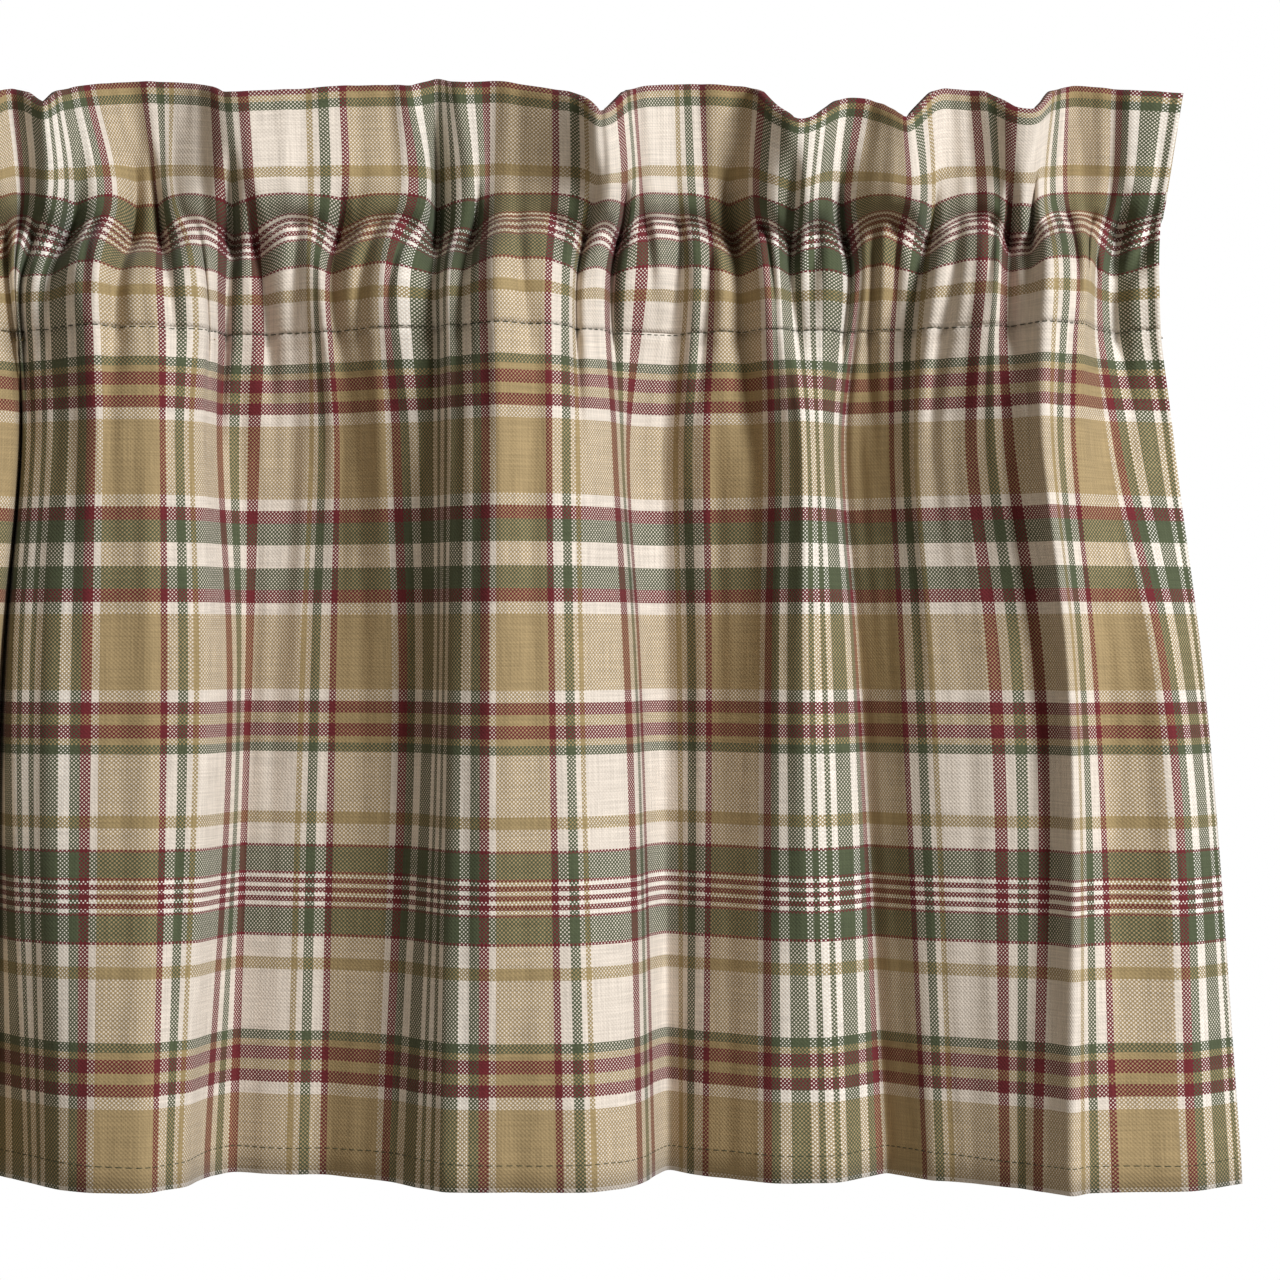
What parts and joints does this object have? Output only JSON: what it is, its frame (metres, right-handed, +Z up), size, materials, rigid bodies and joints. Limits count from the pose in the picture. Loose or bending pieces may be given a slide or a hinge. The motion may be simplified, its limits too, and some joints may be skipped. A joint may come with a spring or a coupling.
{
  "type": "window valance",
  "caption": "Gathered cotton window valance with a ruffled heading, a rod pocket and a straight hemmed skirt in a country plaid.",
  "frame": {"origin": "middle of the heading's top edge", "axes": "+X along the valance, to the right as seen from the room; -Y faces the room; +Z up"},
  "size_m": [1.3197, 0.0567, 0.3448],
  "materials": {
    "plaid_cotton": "plain-woven yarn-dyed cotton, matt, in tan, cream, green and burgundy plaid"
  },
  "bodies": {
    "root": {"heading_and_pocket": "plaid_cotton", "skirt": "plaid_cotton"}
  },
  "joints": []
}
